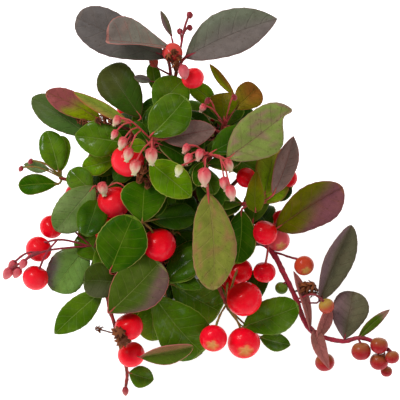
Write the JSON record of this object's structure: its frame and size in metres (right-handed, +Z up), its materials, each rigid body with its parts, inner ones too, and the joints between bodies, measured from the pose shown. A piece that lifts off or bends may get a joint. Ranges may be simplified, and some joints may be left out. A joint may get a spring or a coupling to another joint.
{
  "type": "potted wintergreen plant",
  "caption": "Low evergreen shrub with glossy leaves, red berries and pink urn blossom, growing in a small plain round pot.",
  "frame": {"origin": "centre of the flat underside of the pot", "axes": "+Z up along the pot's axis; -Y toward the front of the plant, the side that the crown's face leans to; +X to the right seen from the front, the side of the long trailing stem"},
  "size_m": [0.1614, 0.1294, 0.143],
  "materials": {
    "pot_plastic": "matte",
    "peat": "matte",
    "stem_bark": "satin",
    "foliage": "satin"
  },
  "bodies": {
    "root": {"pot": "pot_plastic", "peat": "peat", "front_middle_stem": "stem_bark", "front_middle_leaves": "foliage", "whorl_left_stem": "stem_bark", "whorl_left_leaves": "foliage", "whorl_right_stem": "stem_bark", "whorl_right_leaves": "foliage", "crown_top_stem": "stem_bark", "crown_top_leaves": "foliage", "upper_left_stem": "stem_bark", "upper_left_leaves": "foliage", "far_left_stem": "stem_bark", "far_left_leaves": "foliage", "upper_right_stem": "stem_bark", "upper_right_leaves": "foliage", "right_high_stem": "stem_bark", "right_high_leaves": "foliage", "right_low_stem": "stem_bark", "right_low_leaves": "foliage", "trailing_stem": "stem_bark", "trailing_leaves": "foliage", "lower_right_stem": "stem_bark", "lower_right_leaves": "foliage", "bottom_stem": "stem_bark", "bottom_leaves": "foliage", "bottom_left_stem": "stem_bark", "bottom_left_leaves": "foliage", "left_low_stem": "stem_bark", "left_low_leaves": "foliage", "left_middle_stem": "stem_bark", "left_middle_leaves": "foliage", "left_sprig_stem": "stem_bark", "left_sprig_leaves": "foliage", "heart_stem": "stem_bark", "heart_leaves": "foliage", "back_left_stem": "stem_bark", "back_left_leaves": "foliage", "back_right_stem": "stem_bark", "back_right_leaves": "foliage", "right_side_stem": "stem_bark", "right_side_leaves": "foliage", "left_side_stem": "stem_bark", "left_side_leaves": "foliage"}
  },
  "joints": []
}
